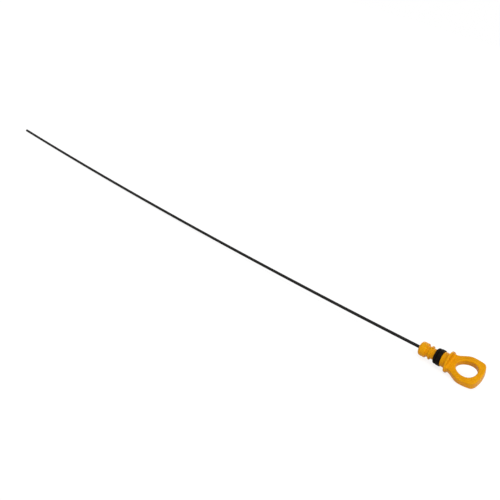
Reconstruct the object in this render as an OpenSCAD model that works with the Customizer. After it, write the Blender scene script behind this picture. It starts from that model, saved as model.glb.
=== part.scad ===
// Engine oil dipstick: a moulded finger-loop handle, a rubber seal and a bowed steel rod.
// The handle's own axis is X, with the rod towards -X and the finger loop towards +X.
// The origin is the centre of the flange's seat face, which stops on the guide tube's mouth.
// The whole piece lies as it comes to rest: on the flange's rim, one side of the loop and the tip.

/* [Flange and plug] */
// Diameter of the stop flange
flange_d = 21.4; // [19:0.2:24]
// Thickness of the stop flange
flange_t = 1.8; // [1.6:0.2:4]
// Rounding of the flange's rim
flange_edge = 0.5; // [0.2:0.1:0.7]
// Diameter of the plug behind the seal
plug_d = 14.8; // [13:0.2:15.4]
// Length of the plug between the flange and the seal
plug_len = 5.7; // [3:0.1:12]
// Diameter of the core that carries the seal and joins the guides
core_d = 10.8; // [8:0.2:12]

/* [Seal] */
// Diameter of the rear lip, which grips the guide tube
rear_lip_d = 16.2; // [15:0.2:18]
// Length of the rear lip
rear_lip_len = 4.2; // [3:0.2:7]
// Diameter of the front lip
front_lip_d = 15.6; // [13:0.2:16]
// Length of the front lip
front_lip_len = 2.8; // [2.5:0.1:6]
// Diameter at the waist between the lips
waist_d = 13; // [12.6:0.1:13.6]
// Length of the waist between the lips
waist_len = 0.4; // [0.4:0.1:1.5]
// Rounding of the front lip's leading edge
front_lip_lead = 1.5; // [0.6:0.1:1.9]
// Rounding of the other lip edges
lip_edge = 0.6; // [0.3:0.1:0.7]

/* [Guides] */
// Length of bare core between the seal and the guide ring
ring_gap = 4.3; // [2:0.1:6]
// Diameter of the thin guide ring
ring_d = 13.7; // [12.6:0.1:14.6]
// Thickness of the guide ring
ring_t = 1.5; // [1.2:0.1:3]
// Rounding of the guide ring's rim
ring_edge = 0.5; // [0.2:0.1:0.5]
// Length of bare core between the guide ring and the guide bulb
bulb_gap = 3.3; // [2:0.1:6]
// Diameter of the guide bulb
bulb_d = 14.2; // [13:0.1:15]
// Length of the guide bulb
bulb_len = 7.4; // [6:0.2:12]
// Rounding of the bulb's leading edge
bulb_lead = 2.7; // [1:0.1:3.5]
// Rounding of the bulb's rear edge
bulb_edge = 0.7; // [0.3:0.1:1.5]

/* [Finger loop] */
// Thickness of the loop where it leaves the flange
root_t = 6; // [4.5:0.1:8]
// Thickness of the loop at its end
end_t = 9.2; // [6:0.1:10]
// Rounding of the loop's edges
loop_edge = 1.4; // [0.8:0.1:1.8]
// Width of the loop where it leaves the flange
root_w = 18.8; // [15:0.2:20]
// Greatest width of the loop
loop_w = 30; // [28:0.2:38]
// Distance from the flange's seat face to the greatest width
loop_mid = 18.8; // [14:0.2:21]
// Width of the loop across its two corners
corner_w = 25.8; // [20:0.2:28]
// Distance from the flange's seat face to the corners
corner_x = 32; // [30:0.2:33.6]
// Rounding of the corners, seen from above
corner_r = 2.8; // [2:0.1:5]
// Distance from the flange's seat face to the loop's bowed end
loop_len = 34.3; // [34:0.1:40]
// Distance from the flange's seat face to the finger hole
hole_x = 8.2; // [5:0.1:10]
// Thickness of the loop's end wall, beyond the finger hole
end_w = 5.6; // [4:0.1:8]
// Width of the finger hole
hole_w = 17.6; // [12:0.2:20]
// How much wider the hole gets towards the loop's end
hole_flare = 2.5; // [0:0.1:3]

/* [Rod] */
// Diameter of the rod
rod_d = 3.1; // [2:0.1:4]
// Length of the rod outside the handle, along its curve
rod_len = 643; // [300:1:900]
// Radius of the rod's gentle bow
bow_r = 5857; // [3000:50:9000]
// Rounding of the rod's tip
tip_round = 0.55; // [0.2:0.05:0.6]
// Width of the flat ring round the rounded tip
tip_edge = 0.1; // [0.05:0.05:0.15]
// Length of the rod held inside the handle
anchor_len = 27; // [12:0.5:28.5]
// Diameter of the upset head on the rod's inner end
anchor_head_d = 5; // [4.2:0.1:6]
// Length of the upset head
anchor_head_len = 2; // [1:0.1:4]

/* [Level marks] */
// Distance from the tip to the low mark
low_mark = 14; // [8:1:25]
// Distance from the tip to the full mark
full_mark = 40; // [30:1:70]
// Length of each mark's groove along the rod
mark_len = 2.2; // [1:0.1:4]
// Depth of each mark's groove
mark_depth = 0.35; // [0.1:0.05:0.6]

/* [Hidden] */
$fn = 96;
round_fn = 16;      // facets of the sphere that rounds the loop's edges
curve_steps = 9;    // steps along each stretch of the loop's outline
hole_step = 9;      // degrees between points of the finger hole
corner_fn = 32;     // facets of a full turn of the outline's corners
bow_step = 18;      // length of one step along the rod's bow
root_start = flange_t / 5;  // where the loop's root starts, inside the flange

// Stations along the handle's axis, from the flange towards the rod
seal_back = -plug_len;
waist_back = seal_back - rear_lip_len;
waist_front = waist_back - waist_len;
seal_front = waist_front - front_lip_len;
ring_back = seal_front - ring_gap;
ring_front = ring_back - ring_t;
bulb_back = ring_front - bulb_gap;
bulb_front = bulb_back - bulb_len;
anchor_end = bulb_front + anchor_len;

// The rod is one circular arc, and its tip lies flat on the ground
bow_angle = rod_len / bow_r * 180 / PI;
axis_height = flange_d / 2 - rod_d / 2;
lean_sine = axis_height / (-bulb_front * tan(bow_angle) + bow_r * (1 / cos(bow_angle) - 1));
bow_lean = asin(lean_sine);
pitch = atan(lean_sine * tan(bow_angle));

// The loop rolls about the handle's axis until its widest place meets the ground
edge_y = loop_w / 2 - loop_edge;
loop_draft = atan((end_t - root_t) / 2 / loop_len);
mid_t = root_t + 2 * loop_mid * tan(loop_draft);
edge_z = mid_t / 2 - loop_edge;
edge_drop = flange_d / 2 + loop_mid * tan(pitch) - loop_edge / cos(pitch);
roll = asin(edge_drop / norm([edge_y, edge_z])) - atan(edge_z / edge_y);

// A bar turned about the X axis from x0 to x1, with its two rims rounded
module turned(x0, x1, d, edge0, edge1) {
    r = d / 2;
    rotate([0, 90, 0]) rotate_extrude() {
        translate([0, x0 + edge0]) square([r, x1 - x0 - edge0 - edge1]);
        translate([0, x0]) square([r - edge0, edge0]);
        translate([0, x1 - edge1]) square([r - edge1, edge1]);
        translate([r - edge0, x0 + edge0]) circle(edge0);
        translate([r - edge1, x1 - edge1]) circle(edge1);
    }
}

// A plain round bar along the X axis from x0 to x1
module bar(x0, x1, d) {
    translate([x0, 0, 0]) rotate([0, 90, 0]) cylinder(h = x1 - x0, d = d);
}

// Points of a cubic curve from a to d, with b and c as its control points
function curve(a, b, c, d) = [
    for (i = [0 : curve_steps - 1])
        let (t = i / curve_steps, s = 1 - t)
        s * s * s * a + 3 * s * s * t * b + 3 * s * t * t * c + t * t * t * d
];

// One side of the loop's outline, from the flange over the widest place to the end
function side_points() =
    let (
        root = [flange_t, root_w / 2],
        wide = [loop_mid, loop_w / 2],
        corner = [corner_x, corner_w / 2],
        tip = [loop_len, 0],
        flare = loop_mid - flange_t,
        taper = corner_x - loop_mid
    )
    concat(
        [[-corner_r, root.y]],
        curve(root, root + [flare * 0.4, 0], wide - [flare * 0.45, 0], wide),
        curve(wide, wide + [taper * 0.34, 0], corner + [-taper * 0.3, taper * 0.1], corner),
        curve(corner, corner + [corner_r / 6, -corner_w * 0.12], tip + [0, corner_w * 0.26], tip),
        [tip]
    );

module loop_outline() {
    side = side_points();
    last = len(side) - 1;
    polygon(concat(side, [for (i = [last - 1 : -1 : 0]) [side[i].x, -side[i].y]]));
}

module finger_hole() {
    half = (loop_len - end_w - hole_x) / 2;
    polygon([
        for (a = [0 : hole_step : 360 - hole_step])
            [hole_x + half + half * cos(a), sin(a) * (hole_w + hole_flare * cos(a)) / 2]
    ]);
}

// The loop's outline and hole without the rim that the rounding adds, cut off inside the flange
module loop_core() {
    start = root_start + loop_edge;
    intersection() {
        difference() {
            offset(r = corner_r - loop_edge, $fn = corner_fn) offset(delta = -corner_r) loop_outline();
            offset(delta = loop_edge) finger_hole();
        }
        translate([start, -loop_w / 2]) square([loop_len - start, loop_w]);
    }
}

// A slab of the loop with its edges rounded by a ball, and its top face at half the root's thickness
module loop_slab() {
    translate([0, 0, (root_t - end_t) / 2]) minkowski() {
        linear_extrude(height = end_t - 2 * loop_edge, center = true) loop_core();
        sphere(r = loop_edge, $fn = round_fn);
    }
}

// The loop grows thicker towards its end: two slabs tilted apart meet in its middle plane
module finger_loop() {
    for (turn = [0, 180])
        rotate([turn, 0, 0]) intersection() {
            rotate([0, -loop_draft, 0]) loop_slab();
            translate([0, -loop_w, 0]) cube([2 * loop_len, 2 * loop_w, end_t]);
        }
}

// Turns the handle and the seal to the attitude in which they rest
module at_rest(turn) {
    rotate([0, -pitch, 0]) rotate([turn, 0, 0]) children();
}

// The straight end of the rod inside the handle, with the head that keys it there
module rod_anchor() {
    bar(bulb_front, anchor_end, rod_d);
    bar(anchor_end - anchor_head_len, anchor_end, anchor_head_d);
}

// Frame of the rod's arc: its centre is the origin, and the arc starts on +X at the bulb
module bow_frame() {
    translate([bulb_front, bow_r, 0]) rotate([0, 0, -90]) children();
}

// A place on the rod's arc, given by its distance from the tip, with the tip towards +Z
module on_bow(from_tip) {
    bow_frame() rotate([0, 0, from_tip / bow_r * 180 / PI - bow_angle])
        translate([bow_r, 0, 0]) rotate([90, 0, 0]) children();
}

module bowed_rod() {
    bow_frame() rotate_extrude(angle = -bow_angle, $fn = ceil(2 * PI * bow_r / bow_step))
        translate([bow_r, 0]) circle(d = rod_d, $fn = 48);
}

module level_mark(from_tip) {
    on_bow(from_tip) translate([0, 0, -mark_len / 2]) difference() {
        cylinder(h = mark_len, d = 2 * rod_d);
        cylinder(h = mark_len, d = rod_d - 2 * mark_depth);
    }
}

// The tumbled end: a rounded disc set halfway into the rod, inside the edge of its cut face
module round_tip() {
    cut_r = rod_d / 2 - tip_edge;
    rounding = min(tip_round, cut_r / 2);
    on_bow(0) rotate_extrude() {
        translate([0, -rounding]) square([cut_r - rounding, 2 * rounding]);
        translate([cut_r - rounding, 0]) circle(rounding);
    }
}

module handle() {
    color([0.95, 0.63, 0.06]) at_rest(roll) difference() {
        union() {
            turned(0, flange_t, flange_d, flange_edge, flange_edge);
            bar(seal_back, 0, plug_d);
            bar(bulb_back, seal_back, core_d);
            turned(ring_front, ring_back, ring_d, ring_edge, ring_edge);
            turned(bulb_front, bulb_back, bulb_d, bulb_lead, bulb_edge);
            finger_loop();
        }
        rod_anchor();
    }
}

module seal() {
    color([0.06, 0.06, 0.06]) at_rest(roll) difference() {
        union() {
            turned(waist_back, seal_back, rear_lip_d, lip_edge, lip_edge);
            bar(waist_front, waist_back, waist_d);
            turned(seal_front, waist_front, front_lip_d, front_lip_lead, lip_edge);
        }
        bar(seal_front, seal_back, core_d);
    }
}

module rod() {
    color([0.16, 0.16, 0.16]) at_rest(bow_lean) {
        rod_anchor();
        difference() {
            bowed_rod();
            level_mark(low_mark);
            level_mark(full_mark);
        }
        round_tip();
    }
}

handle();
seal();
rod();
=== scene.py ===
import math

import bpy
import numpy as np
from mathutils import Matrix, Vector


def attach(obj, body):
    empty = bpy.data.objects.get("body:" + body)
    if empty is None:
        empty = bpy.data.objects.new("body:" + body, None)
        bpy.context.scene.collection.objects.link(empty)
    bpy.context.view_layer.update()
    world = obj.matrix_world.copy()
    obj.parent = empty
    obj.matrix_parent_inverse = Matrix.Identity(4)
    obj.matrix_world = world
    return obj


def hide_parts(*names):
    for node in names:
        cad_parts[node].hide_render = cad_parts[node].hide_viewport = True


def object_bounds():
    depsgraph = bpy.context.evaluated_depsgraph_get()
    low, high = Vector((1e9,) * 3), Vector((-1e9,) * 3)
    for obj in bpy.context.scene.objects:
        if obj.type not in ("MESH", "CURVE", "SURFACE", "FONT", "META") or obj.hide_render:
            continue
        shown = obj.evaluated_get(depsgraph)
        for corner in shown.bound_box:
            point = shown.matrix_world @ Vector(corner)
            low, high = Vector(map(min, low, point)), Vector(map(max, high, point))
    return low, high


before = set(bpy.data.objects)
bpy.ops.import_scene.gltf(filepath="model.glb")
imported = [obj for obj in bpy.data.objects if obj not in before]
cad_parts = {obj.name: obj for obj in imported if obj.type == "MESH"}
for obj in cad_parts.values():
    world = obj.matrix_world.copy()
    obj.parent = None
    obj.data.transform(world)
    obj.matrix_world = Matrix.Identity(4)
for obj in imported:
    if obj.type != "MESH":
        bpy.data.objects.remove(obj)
cad_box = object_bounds()

MM = 0.001

# Sizes in millimetres, along the handle's own axis X, with the rod towards -X.
# The origin is the centre of the flange's seat face.
FLANGE_D, FLANGE_T, FLANGE_EDGE = 21.4, 1.8, 0.5
PLUG_D, PLUG_LEN = 14.8, 5.7
CORE_D = 10.8
RING_GAP, RING_D, RING_T, RING_EDGE = 4.3, 13.7, 1.5, 0.5
BULB_GAP, BULB_D, BULB_LEN, BULB_LEAD, BULB_EDGE = 3.3, 14.2, 7.4, 2.7, 0.7

REAR_LIP_D, REAR_LIP_LEN = 16.2, 4.2
FRONT_LIP_D, FRONT_LIP_LEN, FRONT_LIP_LEAD = 15.6, 2.8, 1.5
WAIST_D, WAIST_LEN, LIP_EDGE = 13.0, 0.4, 0.6

ROOT_T, END_T, LOOP_EDGE = 6.0, 9.2, 1.4
ROOT_W, LOOP_W, LOOP_MID = 18.8, 30.0, 18.8
CORNER_W, CORNER_X, CORNER_R = 25.8, 32.0, 2.8
LOOP_LEN, HOLE_X, END_W = 34.3, 8.2, 5.6
HOLE_W, HOLE_FLARE = 17.6, 2.5

ROD_D, ROD_LEN, BOW_R = 3.1, 643.0, 5857.0
TIP_ROUND, TIP_EDGE = 0.55, 0.1
ANCHOR_LEN, ANCHOR_HEAD_D, ANCHOR_HEAD_LEN = 27.0, 5.0, 2.0
LOW_MARK, FULL_MARK, MARK_LEN, MARK_DEPTH, MARK_EDGE = 14.0, 40.0, 2.2, 0.35, 0.15

# How far the control points of the loop's curves lie from the curves' ends, as shares of the
# curve's own length along the axis, or for the loop's end as shares of its width
ROOT_PULL, WIDE_PULL, TAPER_PULL = 0.4, 0.45, 0.34
CORNER_PULL = np.array([0.3, -0.1])
END_PULL, TIP_PULL = 0.12, 0.26

# How far lines run on past the shape that they belong to, where it is cut off or joined
OUTLINE_START = -6.0  # the loop's outline starts behind the flange, in which it is cut off
SIDE_RUN_OUT = 3      # the loop's sides run on past its corners, in pulls of the corner
END_RUN_OUT = 0.6     # the loop's end runs on past them, by this share of the width there
END_LEAN = 0.6        # how far the loop's end leans back there
STEP_REACH = 1.0      # the core and the plug reach into their neighbours
BORE_REACH = 5.0      # the rod's bore reaches out of the bulb

# How the moulding and the seal are finished
SKIN = 0.03           # how far the handle's surface stays inside the solid's
STEP_FILLET = 0.5     # blend where a round step meets the core
ROOT_FILLET = 2.2     # blend where the loop leaves the flange
PLUG_EDGE = 0.25      # rounding of the plug's rim at the seal
WAIST_EDGE = 0.12     # rounding in the seal's waist
FRONT_LIP_EDGE = 0.36  # rounding of the seal's front lip beside the waist

# How fine the meshes are
VOXEL = 0.3           # spacing of the grid that the handle's surface is found on
GRID_MARGIN = 1.5     # room that this grid leaves round the handle
PLANE_STEP = 0.1      # spacing of the table of distances to the loop's outline
HOLE_STEP = 4         # degrees between the points of the finger hole
SEAL_SIDES, ROD_SIDES = 160, 32
ROD_STEP = 2.0        # distance between the rod's rings
MARK_ROOM = 0.5       # least distance from such a ring to a level groove

# Stations along the handle's axis
SEAL_BACK = -PLUG_LEN
WAIST_BACK = SEAL_BACK - REAR_LIP_LEN
WAIST_FRONT = WAIST_BACK - WAIST_LEN
SEAL_FRONT = WAIST_FRONT - FRONT_LIP_LEN
RING_BACK = SEAL_FRONT - RING_GAP
RING_FRONT = RING_BACK - RING_T
BULB_BACK = RING_FRONT - BULB_GAP
BULB_FRONT = BULB_BACK - BULB_LEN
ANCHOR_END = BULB_FRONT + ANCHOR_LEN

# The attitude in which the piece rests: on the flange's rim, one side of the loop and the tip
BOW_ANGLE = ROD_LEN / BOW_R
AXIS_HEIGHT = (FLANGE_D - ROD_D) / 2
LEAN_SINE = AXIS_HEIGHT / (
    -BULB_FRONT * math.tan(BOW_ANGLE) + BOW_R * (1 / math.cos(BOW_ANGLE) - 1)
)
BOW_LEAN = math.asin(LEAN_SINE)
PITCH = math.atan(LEAN_SINE * math.tan(BOW_ANGLE))
DRAFT = (END_T - ROOT_T) / 2 / LOOP_LEN
EDGE_Y, EDGE_Z = LOOP_W / 2 - LOOP_EDGE, ROOT_T / 2 + LOOP_MID * DRAFT - LOOP_EDGE
EDGE_DROP = FLANGE_D / 2 + LOOP_MID * math.tan(PITCH) - LOOP_EDGE / math.cos(PITCH)
ROLL = math.asin(EDGE_DROP / math.hypot(EDGE_Y, EDGE_Z)) - math.atan(EDGE_Z / EDGE_Y)

# The photograph's camera: its view of the flange's centre, in pixels of a 500-pixel frame,
# with distances in metres, angles in degrees and the sensor's width in millimetres
FRAME_PX = 500
FOCAL_PX = 810.6
FLANGE_PX = (448.44, 361.57)
FLANGE_DEPTH = 0.7504
VIEW_AZIMUTH, VIEW_ELEVATION, VIEW_ROLL = 32.319, 18.528, 16.85
SENSOR_WIDTH = 36
CLIP_NEAR, CLIP_FAR = 0.01, 100

# Colours, as linear red, green and blue
AMBER_DEEP, AMBER_PALE = (0.66, 0.270, 0.001), (0.78, 0.335, 0.002)
# The second colour below is the paler tone of the edges: partly wear, partly a painted highlight
AMBER_FLECK, AMBER_WORN_AND_HIGHLIGHT = (0.62, 0.24, 0.001), (0.84, 0.42, 0.01)
RUBBER_DARK, RUBBER_DUSTY = (0.003, 0.0018, 0.0015), (0.009, 0.0055, 0.0045)
OXIDE_DARK, OXIDE_PALE = (0.008, 0.0077, 0.0077), (0.019, 0.0175, 0.016)

# The floor and the world light the object with the first value of each pair. The second is
# what the camera and reflections see, with a glow that keeps the floor white round a shadow.
FLOOR_GREY, FLOOR_SEEN_GREY = 0.8, 0.22
FLOOR_GLOW = 0.84
WORLD_LIGHT, WORLD_SEEN_LIGHT = 0.36, 1.0
FLOOR_HALF_WIDTH = 40  # in metres


def at_rest(turn):
    """Matrix from the handle's own axes, in millimetres, to the row frame, in metres."""
    return Matrix.Rotation(-PITCH, 4, "Y") @ Matrix.Rotation(turn, 4, "X") @ Matrix.Scale(MM, 4)


def add_object(name, data):
    """A new object in the scene that shows that mesh, lamp or camera."""
    added = bpy.data.objects.new(name, data)
    bpy.context.scene.collection.objects.link(added)
    return added


def add_piece(name, points, faces, turn, material, node):
    """A closed mesh, made in the handle's own axes, that takes the place of a CAD node."""
    mesh = bpy.data.meshes.new(name)
    mesh.from_pydata(points.tolist(), [], faces)
    mesh.transform(at_rest(turn))
    mesh.polygons.foreach_set("use_smooth", [True] * len(mesh.polygons))
    mesh.update()
    piece = add_object(name, mesh)
    piece.data.materials.append(material)
    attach(piece, "root")
    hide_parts(node)
    return piece


# The handle: one moulding, as a distance field

def rounded_box(u, half_u, v, half_v, edge):
    """Distance to a rectangle with rounded corners."""
    return round_corner(np.abs(u) - half_u, np.abs(v) - half_v, edge)


def round_corner(a, b, radius):
    """Intersection of two distances, with the corner between them rounded."""
    qa, qb = a + radius, b + radius
    outside = np.hypot(np.maximum(qa, 0), np.maximum(qb, 0))
    return outside + np.minimum(np.maximum(qa, qb), 0) - radius


def turned(p, x0, x1, d, edge0=0.0, edge1=0.0):
    """Distance to a bar turned about the X axis, with its two rims rounded."""
    middle = (x0 + x1) / 2
    edge = np.where(p[0] < middle, edge0, edge1)
    return rounded_box(p[0] - middle, (x1 - x0) / 2, np.hypot(p[1], p[2]), d / 2, edge)


def blend_of(a, b, width):
    """Union of two distances with a fillet about as wide as width."""
    share = np.clip(0.5 + 0.5 * (b - a) / width, 0, 1)
    return b + (a - b) * share - width * share * (1 - share)


def polygon_distance(x, y, corners):
    """Signed distance from points to a closed polygon, negative inside it."""
    nearest = np.full(x.shape, np.inf)
    inside = np.zeros(x.shape, bool)
    for (ax, ay), (bx, by) in zip(corners, np.roll(corners, -1, axis=0)):
        ex, ey = bx - ax, by - ay
        wx, wy = x - ax, y - ay
        share = np.clip((wx * ex + wy * ey) / (ex * ex + ey * ey), 0, 1)
        nearest = np.minimum(nearest, np.hypot(wx - ex * share, wy - ey * share))
        if ey != 0:
            inside ^= ((ay > y) != (by > y)) & (wx < ex * wy / ey)
    return np.where(inside, -nearest, nearest)


def curve(a, b, c, d, steps=24):
    """Points of a cubic curve from a towards d, with b and c as its control points."""
    t = np.linspace(0, 1, steps, endpoint=False)[:, None]
    s = 1 - t
    return s**3 * a + 3 * s * s * t * b + 3 * s * t * t * c + t**3 * d


def mirrored(side):
    """The side's points, then the same points on the other side of the X axis."""
    return np.vstack([side, side[::-1] * [1, -1]])


def loop_profile(x, y):
    """Distance to the loop's outline with its finger hole, seen from above."""
    root = np.array([OUTLINE_START, ROOT_W / 2])
    leave = np.array([FLANGE_T, ROOT_W / 2])
    wide = np.array([LOOP_MID, LOOP_W / 2])
    corner = np.array([CORNER_X, CORNER_W / 2])
    tip = np.array([LOOP_LEN, 0])
    flare, taper = LOOP_MID - FLANGE_T, CORNER_X - LOOP_MID
    pull = taper * CORNER_PULL
    sides = polygon_distance(x, y, mirrored(np.vstack([
        [root],
        curve(leave, leave + [flare * ROOT_PULL, 0], wide - [flare * WIDE_PULL, 0], wide),
        curve(wide, wide + [taper * TAPER_PULL, 0], corner - pull, corner),
        [corner, corner + pull * SIDE_RUN_OUT],
    ])))
    past_corner = corner + [-END_LEAN, CORNER_W * END_RUN_OUT]
    from_corner = corner + [CORNER_R / 6, -CORNER_W * END_PULL]
    end = polygon_distance(x, y, mirrored(np.vstack([
        [[OUTLINE_START, LOOP_W]],
        [past_corner],
        curve(corner, from_corner, tip + [0, CORNER_W * TIP_PULL], tip),
    ])))
    half = (LOOP_LEN - END_W - HOLE_X) / 2
    a = np.radians(np.arange(0, 360, HOLE_STEP))
    hole = polygon_distance(x, y, np.column_stack([
        HOLE_X + half + half * np.cos(a),
        np.sin(a) * (HOLE_W + HOLE_FLARE * np.cos(a)) / 2,
    ]))
    return np.maximum(round_corner(sides, end, CORNER_R), -hole)


def lookup(distance, low, high, step):
    """A plane distance, worked out once on a fine grid and read between its points."""
    xs, ys = np.arange(low[0], high[0] + step, step), np.arange(low[1], high[1] + step, step)
    table = distance(*np.meshgrid(xs, ys, indexing="ij"))
    edge = 1.001          # keeps a point on the table's far edge within its last cell
    last_x, last_y = len(xs) - edge, len(ys) - edge

    def read(x, y):
        u = np.clip((x - low[0]) / step, 0, last_x)
        v = np.clip((y - low[1]) / step, 0, last_y)
        i, j = u.astype(int), v.astype(int)
        u, v = u - i, v - j
        near = table[i, j] * (1 - v) + table[i, j + 1] * v
        far = table[i + 1, j] * (1 - v) + table[i + 1, j + 1] * v
        return near * (1 - u) + far * u

    return read


def handle_distance(read_loop):
    """The handle's distance field, as a function of an array of points."""

    def distance(p):
        body = turned(p, BULB_BACK - STEP_REACH, SEAL_BACK + STEP_REACH, CORE_D)
        for step in (
            turned(p, BULB_FRONT, BULB_BACK, BULB_D, BULB_LEAD, BULB_EDGE),
            turned(p, RING_FRONT, RING_BACK, RING_D, RING_EDGE, RING_EDGE),
            turned(p, SEAL_BACK, STEP_REACH, PLUG_D, PLUG_EDGE),
            turned(p, 0, FLANGE_T, FLANGE_D, FLANGE_EDGE, FLANGE_EDGE),
        ):
            body = blend_of(body, step, STEP_FILLET)
        along = p[0] * math.hypot(1, DRAFT)
        flat = np.maximum(read_loop(along, p[1]), FLANGE_T / 2 - p[0])
        half_t = ROOT_T / 2 + p[0] * DRAFT
        loop = rounded_box(flat + END_T, END_T, p[2], half_t, LOOP_EDGE)
        whole = blend_of(body, loop, ROOT_FILLET)
        bore = np.minimum(
            turned(p, BULB_FRONT - BORE_REACH, ANCHOR_END, ROD_D),
            turned(p, ANCHOR_END - ANCHOR_HEAD_LEN, ANCHOR_END, ANCHOR_HEAD_D),
        )
        return np.maximum(whole + SKIN, -bore)

    return distance


def net_surface(distance, low, high, step, pulls=3):
    """Closed quad mesh of a distance field's zero surface, by surface nets."""
    axes = [np.arange(a, b + step, step) for a, b in zip(low, high)]
    field = distance(np.stack(np.meshgrid(*axes, indexing="ij")))
    shape = field.shape
    cell_of, places, quads = [], [], []
    for axis in range(3):
        u, v = (axis + 1) % 3, (axis + 2) % 3
        near = np.take(field, range(shape[axis] - 1), axis)
        far = np.take(field, range(1, shape[axis]), axis)
        crossed = (near < 0) != (far < 0)
        index = np.argwhere(crossed)
        place = index.astype(float)
        place[:, axis] += (near / np.where(crossed, near - far, 1))[crossed]
        corners = []
        for du, dv in ((1, 1), (0, 1), (0, 0), (1, 0)):
            cell = index.copy()
            cell[:, u] -= du
            cell[:, v] -= dv
            corners.append(np.ravel_multi_index(cell.T, shape))
            cell_of.append(corners[-1])
            places.append(place)
        quad = np.column_stack(corners)
        outward = (near < 0)[crossed]
        quads.append(np.where(outward[:, None], quad, quad[:, ::-1]))
    cells, owner = np.unique(np.concatenate(cell_of), return_inverse=True)
    places = np.concatenate(places)
    count = np.bincount(owner)
    points = np.column_stack([np.bincount(owner, places[:, k]) / count for k in range(3)])
    points = points * step + np.array(low)
    for _ in range(pulls):
        points -= pull_to_surface(distance, points, step / 2)
    return points, np.searchsorted(cells, np.concatenate(quads)).tolist()


def pull_to_surface(distance, points, longest, reach=0.02, flattest=0.25):
    """What to take off each point so that it lies on the zero surface, from the slope there."""
    here = distance(points.T)
    slope = np.column_stack([
        distance((points + reach * axis).T) - distance((points - reach * axis).T)
        for axis in np.eye(3)
    ]) / (2 * reach)
    squared = np.maximum((slope**2).sum(axis=1), flattest)
    return slope * np.clip(here / squared, -longest, longest)[:, None]


# The seal and the rod: turned and swept meshes

def rounded_profile(corners, steps=8):
    """Closed outline with each corner (x, r, radius) rounded by that radius."""
    out = []
    befores, afters = np.roll(corners, 1, axis=0), np.roll(corners, -1, axis=0)
    for before, here, after in zip(befores, corners, afters):
        place, radius = here[:2], here[2]
        if radius == 0:
            out.append(place)
            continue
        to_before, to_after = before[:2] - place, after[:2] - place
        to_before = to_before / np.linalg.norm(to_before)
        to_after = to_after / np.linalg.norm(to_after)
        half = math.acos(np.clip(to_before @ to_after, -1, 1)) / 2
        start, end = (place + way * radius / math.tan(half) for way in (to_before, to_after))
        middle = to_before + to_after
        centre = place + middle / np.linalg.norm(middle) * radius / math.sin(half)
        a0, a1 = (math.atan2(q[1] - centre[1], q[0] - centre[0]) for q in (start, end))
        turn = (a1 - a0 + math.pi) % (2 * math.pi) - math.pi
        for a in np.linspace(a0, a0 + turn, steps):
            out.append(centre + radius * np.array([math.cos(a), math.sin(a)]))
    return np.array(out)


def ring_faces(rings, sides, closed):
    """Quads between neighbouring rings of points, and from the last to the first if closed."""
    return [
        (i * sides + j, i * sides + (j + 1) % sides,
         (i + 1) % rings * sides + (j + 1) % sides, (i + 1) % rings * sides + j)
        for i in range(rings if closed else rings - 1) for j in range(sides)
    ]


def lathe(profile, sides):
    """Closed ring mesh of a closed profile of (x, r) turned about the X axis."""
    angles = np.linspace(0, 2 * math.pi, sides, endpoint=False)
    x, r = profile[:, 0][:, None], profile[:, 1][:, None]
    rings = np.stack([x + 0 * angles, r * np.cos(angles), r * np.sin(angles)], axis=2)
    return rings.reshape(-1, 3), ring_faces(len(profile), sides, closed=True)


def rod_stations(tip_steps=8):
    """The rod's radius at distances from its tip, with its grooves and rounded tip."""
    full, tip_r = ROD_D / 2, ROD_D / 2 - TIP_EDGE
    stations = [
        (-TIP_ROUND * math.sin(a), tip_r - TIP_ROUND + TIP_ROUND * math.cos(a))
        for a in np.radians(np.linspace(90, 0, tip_steps))
    ]
    stations.append((TIP_EDGE, full))
    for mark in (LOW_MARK, FULL_MARK):
        near, far = mark - MARK_LEN / 2, mark + MARK_LEN / 2
        plain = np.arange(stations[-1][0] + ROD_STEP, near - MARK_ROOM, ROD_STEP)
        stations += [(s, full) for s in plain]
        floor = full - MARK_DEPTH
        stations += [(near, full), (near + MARK_EDGE, floor), (far - MARK_EDGE, floor), (far, full)]
    bow_steps = int((ROD_LEN - stations[-1][0]) / ROD_STEP)
    stations += [(s, full) for s in np.linspace(stations[-1][0], ROD_LEN, bow_steps)[1:]]
    end, head_r = ROD_LEN + ANCHOR_LEN, ANCHOR_HEAD_D / 2
    head = end - ANCHOR_HEAD_LEN
    stations += [(head, full), (head, head_r), (end, head_r)]
    return stations


def rod_mesh(sides):
    """The rod swept along its arc, from the tip to the head inside the handle."""
    angles = np.linspace(0, 2 * math.pi, sides, endpoint=False)
    upwards = np.array([0, 0, 1])
    points, along = [], []
    for from_tip, radius in rod_stations():
        run = ROD_LEN - from_tip
        a = max(run, 0) / BOW_R
        inside = -min(run, 0)
        centre = np.array([BULB_FRONT - BOW_R * math.sin(a) + inside, BOW_R * (1 - math.cos(a)), 0])
        sideways = np.array([math.sin(a), math.cos(a), 0])
        for t in angles:
            points.append(centre + radius * (sideways * math.cos(t) + upwards * math.sin(t)))
        along.append(from_tip)
    rings = len(along)
    faces = ring_faces(rings, sides, closed=False)
    faces.append(tuple(range(sides))[::-1])
    faces.append(tuple(range((rings - 1) * sides, rings * sides)))
    return np.array(points), faces, along


def add_uv(mesh, sides, along):
    """UV in metres: along the rod, and round it."""
    layer = mesh.uv_layers.new(name="UVMap")
    round_step = math.pi * ROD_D * MM / sides
    for face in mesh.polygons:
        turns = [v % sides for v in face.vertices]
        seam = len(turns) == 4 and 0 in turns and sides - 1 in turns
        for loop, v, turn in zip(face.loop_indices, face.vertices, turns):
            if seam and turn == 0:
                turn = sides
            layer.data[loop].uv = (along[v // sides] * MM, turn * round_step)


# Materials

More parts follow.
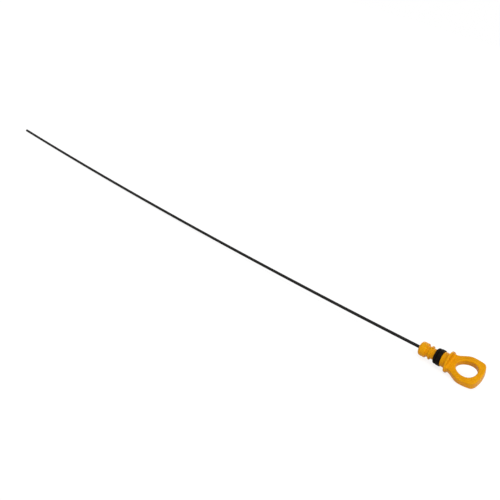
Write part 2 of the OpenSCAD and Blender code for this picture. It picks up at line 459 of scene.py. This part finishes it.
class Shader:
    """A material on one Principled shader, with short calls for its texture nodes."""

    def __init__(self, name, **settings):
        self.material = bpy.data.materials.new(name)
        self.material.use_nodes = True
        self.tree = self.material.node_tree
        self.bsdf = self.tree.nodes["Principled BSDF"]
        for key, value in settings.items():
            self.bsdf.inputs[key.replace("_", " ")].default_value = value

    def fill(self, socket, value):
        """Links a socket to another node's output, or sets it to a plain value."""
        if isinstance(value, bpy.types.NodeSocket):
            self.tree.links.new(value, socket)
        else:
            socket.default_value = value

    def node(self, kind, **inputs):
        made = self.tree.nodes.new("ShaderNode" + kind)
        for key, value in inputs.items():
            self.fill(made.inputs[key.replace("_", " ")], value)
        return made

    def link(self, output, name):
        self.tree.links.new(output, self.bsdf.inputs[name])

    def place(self):
        return self.node("TexCoord").outputs["Object"]

    def noise(self, where, scale, detail=3.0, roughness=0.5):
        made = self.node("TexNoise", Vector=where, Scale=scale, Detail=detail, Roughness=roughness)
        return made.outputs["Fac"]

    def ramp(self, value, *stops):
        """Colours or grey levels by value, from stops of (place, colour)."""
        made = self.node("ValToRGB", Fac=value)
        elements = made.color_ramp.elements
        while len(elements) < len(stops):
            elements.new(0.5)
        for element, (place, colour) in zip(elements, stops):
            element.position = place
            rgb = colour if isinstance(colour, tuple) else (colour, colour, colour)
            element.color = (*rgb, 1)
        return made.outputs["Color"]

    def mix(self, share, a, b):
        """Colour a with a share of colour b over it."""
        made = self.tree.nodes.new("ShaderNodeMix")
        made.data_type = "RGBA"
        # Several sockets of this node share a name, so those for colours go by their numbers
        for number, value in ((0, share), (6, a), (7, b)):
            self.fill(made.inputs[number], value)
        return made.outputs[2]

    def bump(self, height, depth, distance, under=None):
        inputs = {"Height": height, "Strength": depth, "Distance": distance}
        if under is not None:
            inputs["Normal"] = under
        return self.node("Bump", **inputs).outputs["Normal"]


def handle_plastic():
    """Amber nylon with faint flow marks, small flecks, paler edges that are partly wear and partly a
    painted highlight, and a fine grain.
    """
    s = Shader(
        "handle_plastic", Specular_IOR_Level=0.2, Specular_Tint=(1.0, 0.7, 0.25, 1),
        Subsurface_Weight=0.06, Subsurface_Radius=(0.004, 0.0018, 0.0002), Subsurface_Scale=0.5,
    )
    where = s.place()
    flow = s.noise(where, scale=90, detail=4, roughness=0.6)
    colour = s.ramp(flow, (0.3, AMBER_DEEP), (0.7, AMBER_PALE))
    flecks = s.ramp(s.noise(where, scale=420), (0.45, 0.0), (0.75, 0.25))
    colour = s.mix(flecks, colour, (*AMBER_FLECK, 1))
    # Convex edges are made paler: partly wear, partly a painted highlight where the edges catch the light
    edges = s.node("NewGeometry").outputs["Pointiness"]
    worn_and_highlit = s.mix(0.35, (0, 0, 0, 1), s.ramp(edges, (0.50, 0.0), (0.60, 1.0)))
    colour = s.mix(worn_and_highlit, colour, (*AMBER_WORN_AND_HIGHLIGHT, 1))
    s.link(colour, "Base Color")
    s.link(s.ramp(s.noise(where, scale=700), (0.3, 0.34), (0.7, 0.48)), "Roughness")
    grain = s.bump(s.noise(where, scale=2600, detail=2), depth=0.22, distance=0.0002)
    waves = s.noise(where, scale=160, detail=2)
    s.link(s.bump(waves, depth=0.25, distance=0.0006, under=grain), "Normal")
    return s.material


def seal_rubber():
    """Matt black rubber with a little dust and a fine grain."""
    s = Shader("seal_rubber", Specular_IOR_Level=0.05)
    where = s.place()
    dust = s.noise(where, scale=300, detail=5, roughness=0.65)
    s.link(s.ramp(dust, (0.35, RUBBER_DARK), (0.75, RUBBER_DUSTY)), "Base Color")
    s.link(s.ramp(s.noise(where, scale=900), (0.3, 0.5), (0.7, 0.68)), "Roughness")
    s.link(s.bump(s.noise(where, scale=3200), depth=0.3, distance=0.0002), "Normal")
    return s.material


def rod_steel():
    """Black oxide steel with uneven oxide and drawing lines along the wire."""
    s = Shader("rod_steel", Metallic=0.3, Specular_IOR_Level=0.1)
    unrolled = s.node("UVMap").outputs["UV"]
    drawn = s.node("Mapping", Vector=unrolled, Scale=(0.02, 1.0, 1.0)).outputs["Vector"]
    oxide = s.noise(s.place(), scale=240, detail=5, roughness=0.65)
    s.link(s.ramp(oxide, (0.3, OXIDE_DARK), (0.75, OXIDE_PALE)), "Base Color")
    lines = s.noise(drawn, scale=1400)
    s.link(s.ramp(lines, (0.3, 0.42), (0.7, 0.58)), "Roughness")
    s.link(s.bump(lines, depth=0.35, distance=0.0001), "Normal")
    return s.material


# The pieces

LOW = (BULB_FRONT - GRID_MARGIN, -LOOP_W / 2 - GRID_MARGIN, -FLANGE_D / 2 - GRID_MARGIN)
HIGH = (LOOP_LEN + GRID_MARGIN, LOOP_W / 2 + GRID_MARGIN, FLANGE_D / 2 + GRID_MARGIN)
handle_field = handle_distance(lookup(loop_profile, LOW[:2], HIGH[:2], PLANE_STEP))
points, faces = net_surface(handle_field, LOW, HIGH, VOXEL)
add_piece("moulded_handle", points, faces, ROLL, handle_plastic(), "handle")

seal_profile = rounded_profile(np.array([
    (SEAL_BACK, CORE_D / 2, 0),
    (SEAL_BACK, REAR_LIP_D / 2, LIP_EDGE),
    (WAIST_BACK, REAR_LIP_D / 2, LIP_EDGE),
    (WAIST_BACK, WAIST_D / 2, WAIST_EDGE),
    (WAIST_FRONT, WAIST_D / 2, WAIST_EDGE),
    (WAIST_FRONT, FRONT_LIP_D / 2, FRONT_LIP_EDGE),
    (SEAL_FRONT, FRONT_LIP_D / 2, FRONT_LIP_LEAD),
    (SEAL_FRONT, CORE_D / 2, 0),
]))
points, faces = lathe(seal_profile, SEAL_SIDES)
add_piece("rubber_seal", points, faces, ROLL, seal_rubber(), "seal")

points, faces, along = rod_mesh(ROD_SIDES)
rod = add_piece("steel_rod", points, faces, BOW_LEAN, rod_steel(), "rod")
add_uv(rod.data, ROD_SIDES, along)


# Floor, light and camera

def grey(level):
    return (level, level, level, 1)


def seen_rays(tree):
    """1 for rays from the camera and from glossy or clear surfaces, and 0 for the rest."""
    path = tree.nodes.new("ShaderNodeLightPath")
    seen = path.outputs["Is Camera Ray"]
    for kind in ("Is Glossy Ray", "Is Transmission Ray"):
        larger = tree.nodes.new("ShaderNodeMath")
        larger.operation = "MAXIMUM"
        tree.links.new(seen, larger.inputs[0])
        tree.links.new(path.outputs[kind], larger.inputs[1])
        seen = larger.outputs[0]
    return seen


def floor_material():
    """Pale grey to the object, and white with a faint shadow to the camera."""
    material = bpy.data.materials.new("floor_white")
    material.use_nodes = True
    tree = material.node_tree
    tree.nodes.clear()
    new, link = tree.nodes.new, tree.links.new
    plain = new("ShaderNodeBsdfDiffuse")
    plain.inputs["Color"].default_value = grey(FLOOR_GREY)
    faint = new("ShaderNodeBsdfDiffuse")
    faint.inputs["Color"].default_value = grey(FLOOR_SEEN_GREY)
    glow = new("ShaderNodeEmission")
    glow.inputs["Strength"].default_value = FLOOR_GLOW
    lit = new("ShaderNodeAddShader")
    link(faint.outputs[0], lit.inputs[0])
    link(glow.outputs[0], lit.inputs[1])
    pick = new("ShaderNodeMixShader")
    link(seen_rays(tree), pick.inputs[0])
    link(plain.outputs[0], pick.inputs[1])
    link(lit.outputs[0], pick.inputs[2])
    out = new("ShaderNodeOutputMaterial")
    link(pick.outputs[0], out.inputs["Surface"])
    return material


def add_floor(height):
    size = FLOOR_HALF_WIDTH
    corners = [(-size, -size, height), (size, -size, height), (size, size, height), (-size, size, height)]
    mesh = bpy.data.meshes.new("floor")
    mesh.from_pydata(corners, [], [(0, 1, 2, 3)])
    mesh.materials.append(floor_material())
    add_object("floor", mesh)


def add_world():
    world = bpy.data.worlds.new("studio")
    bpy.context.scene.world = world
    world.use_nodes = True
    tree = world.node_tree
    tree.nodes.clear()
    strength = tree.nodes.new("ShaderNodeMapRange")
    strength.inputs["To Min"].default_value = WORLD_LIGHT
    strength.inputs["To Max"].default_value = WORLD_SEEN_LIGHT
    tree.links.new(seen_rays(tree), strength.inputs["Value"])
    background = tree.nodes.new("ShaderNodeBackground")
    background.inputs["Color"].default_value = grey(1)
    tree.links.new(strength.outputs["Result"], background.inputs["Strength"])
    out = tree.nodes.new("ShaderNodeOutputWorld")
    tree.links.new(background.outputs[0], out.inputs["Surface"])


def direction(azimuth, elevation):
    """The way from the object towards a place at that azimuth and elevation, in degrees."""
    a, e = math.radians(azimuth), math.radians(elevation)
    return Vector((math.sin(a) * math.cos(e), -math.cos(a) * math.cos(e), math.sin(e)))


def add_sun(name, azimuth, elevation, strength, softness):
    """A soft lamp with no falloff, seen from the object at that azimuth and elevation."""
    light = bpy.data.lights.new(name, "SUN")
    light.energy, light.angle = strength, math.radians(softness)
    lamp = add_object(name, light)
    lamp.rotation_mode = "QUATERNION"
    lamp.rotation_quaternion = direction(azimuth, elevation).to_track_quat("Z", "Y")


def add_camera():
    a, roll = math.radians(VIEW_AZIMUTH), math.radians(VIEW_ROLL)
    back = direction(VIEW_AZIMUTH, VIEW_ELEVATION)
    level = Vector((math.cos(a), math.sin(a), 0))
    upright = back.cross(level)
    right = level * math.cos(roll) + upright * math.sin(roll)
    up = back.cross(right)
    data = bpy.data.cameras.new("camera")
    data.sensor_width = SENSOR_WIDTH
    data.lens = FOCAL_PX / FRAME_PX * data.sensor_width
    data.clip_start, data.clip_end = CLIP_NEAR, CLIP_FAR
    camera = add_object("camera", data)
    off_x = (FLANGE_PX[0] - FRAME_PX / 2) / FOCAL_PX * FLANGE_DEPTH
    off_y = (FRAME_PX / 2 - FLANGE_PX[1]) / FOCAL_PX * FLANGE_DEPTH
    place = back * FLANGE_DEPTH - right * off_x - up * off_y
    turn = Matrix((right, up, back)).transposed().to_4x4()
    camera.matrix_world = Matrix.Translation(place) @ turn
    bpy.context.scene.camera = camera


add_floor(cad_box[0].z)
add_world()
add_sun("key_light", azimuth=15, elevation=55, strength=1.4, softness=50)
add_sun("side_light", azimuth=55, elevation=25, strength=1.0, softness=50)
add_sun("back_light", azimuth=215, elevation=20, strength=0.9, softness=60)
add_camera()

bpy.context.scene.view_settings.view_transform = "Standard"
